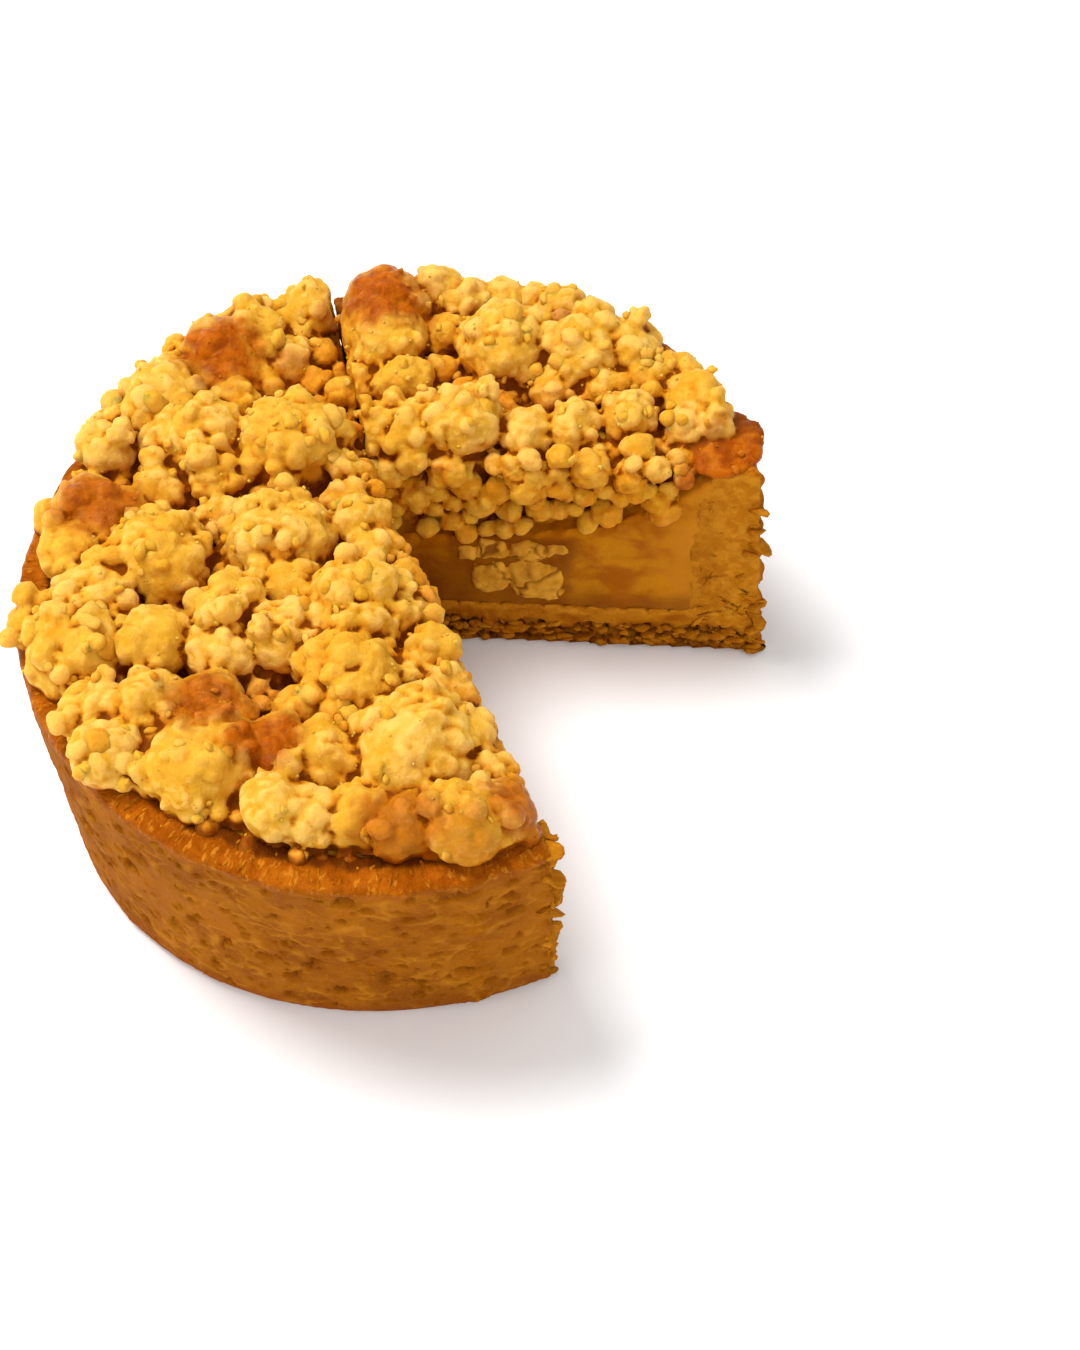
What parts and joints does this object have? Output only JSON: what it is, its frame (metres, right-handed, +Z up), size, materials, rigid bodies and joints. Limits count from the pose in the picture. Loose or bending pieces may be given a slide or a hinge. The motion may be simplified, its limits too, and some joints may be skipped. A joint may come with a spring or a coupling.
{
  "type": "streusel tartlet with a wedge cut out",
  "caption": "Deep round tartlet with a straight baked crust wall, amber filling and a heap of golden streusel, cut so that a wedge is gone and a slice stands beside the rest.",
  "frame": {"origin": "middle of the tartlet on the surface it stands on", "axes": "+Z up, +Y to the back as pictured, +X to the right; the missing wedge opens towards +X and -Y"},
  "size_m": [0.1063, 0.1148, 0.0488],
  "materials": {
    "crust": "golden-brown baked shortcrust, slightly glossy on the rim",
    "filling": "moist translucent amber filling",
    "streusel": "matte golden-yellow butter crumble, browned in places",
    "marzipan": "pale matte almond paste"
  },
  "bodies": {
    "root": {"crust_rest": "crust", "filling_rest": "filling", "streusel_rest": "streusel", "crust_slice": "crust", "filling_slice": "filling", "streusel_slice": "streusel", "marzipan_chunk": "marzipan"}
  },
  "joints": []
}
